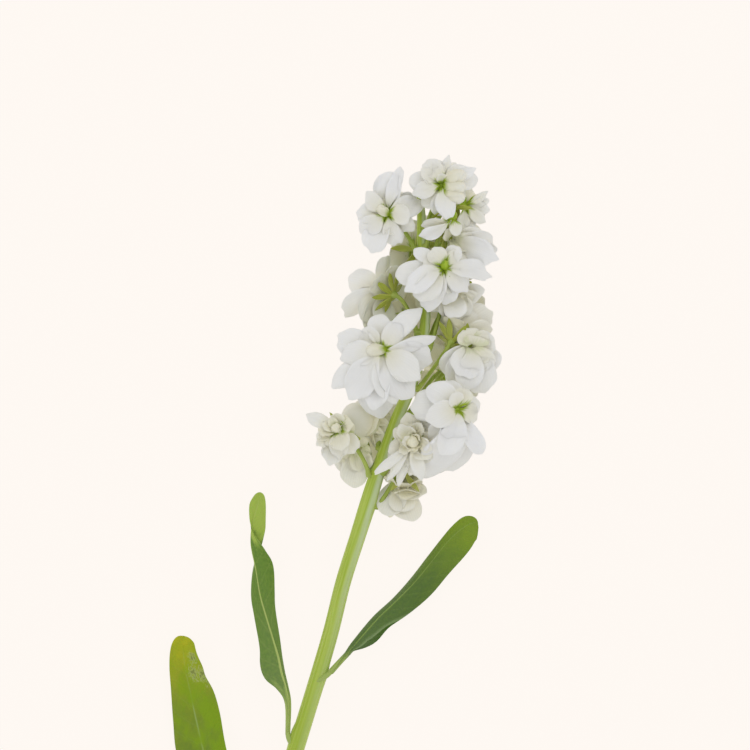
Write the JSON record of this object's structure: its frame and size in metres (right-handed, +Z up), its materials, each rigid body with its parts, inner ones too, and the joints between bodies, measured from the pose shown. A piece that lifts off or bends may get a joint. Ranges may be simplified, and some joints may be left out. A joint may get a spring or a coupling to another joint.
{
  "type": "stock flower stem",
  "caption": "Cut stem of white double stock, lying down: ruffled florets in a dense spike on a ribbed green stem with long blunt leaves.",
  "frame": {"origin": "middle of the footprint, on the surface that the stem lies on", "axes": "+Y from the cut end along the stem to the tip of the flower head, +Z up from the surface"},
  "size_m": [0.1222, 0.4142, 0.0547],
  "materials": {
    "stem": "satin, fresh green stem",
    "bud": "matte, closed green buds",
    "calyx": "satin, olive green stalks and sepals",
    "leaf": "matte, grey-green leaf",
    "petal": "matte, soft white petal"
  },
  "bodies": {
    "root": {"stem": "stem", "tip_buds": "bud", "leaf_left": "leaf", "leaf_right": "leaf", "leaf_lower": "leaf", "bloom_01": "petal", "bloom_02": "petal", "bloom_03": "petal", "bloom_04": "petal", "bloom_05": "petal", "bloom_06": "petal", "bloom_07": "petal", "bloom_08": "petal", "bloom_09": "petal", "bloom_10": "petal", "bloom_11": "petal", "bloom_12": "petal", "bloom_13": "petal", "bloom_14": "petal", "bloom_15": "petal", "bloom_16": "petal", "bloom_17": "petal", "bloom_18": "petal", "bloom_19": "petal", "bloom_20": "petal", "bloom_21": "petal", "bloom_22": "petal", "bloom_23": "petal", "bloom_24": "petal", "calyx_01": "calyx", "calyx_02": "calyx", "calyx_03": "calyx", "calyx_04": "calyx", "calyx_05": "calyx", "calyx_06": "calyx", "calyx_07": "calyx", "calyx_08": "calyx", "calyx_09": "calyx", "calyx_10": "calyx", "calyx_11": "calyx", "calyx_12": "calyx", "calyx_13": "calyx", "calyx_14": "calyx", "calyx_15": "calyx", "calyx_16": "calyx", "calyx_17": "calyx", "calyx_18": "calyx", "calyx_19": "calyx", "calyx_20": "calyx", "calyx_21": "calyx", "calyx_22": "calyx", "calyx_23": "calyx", "calyx_24": "calyx"}
  },
  "joints": []
}
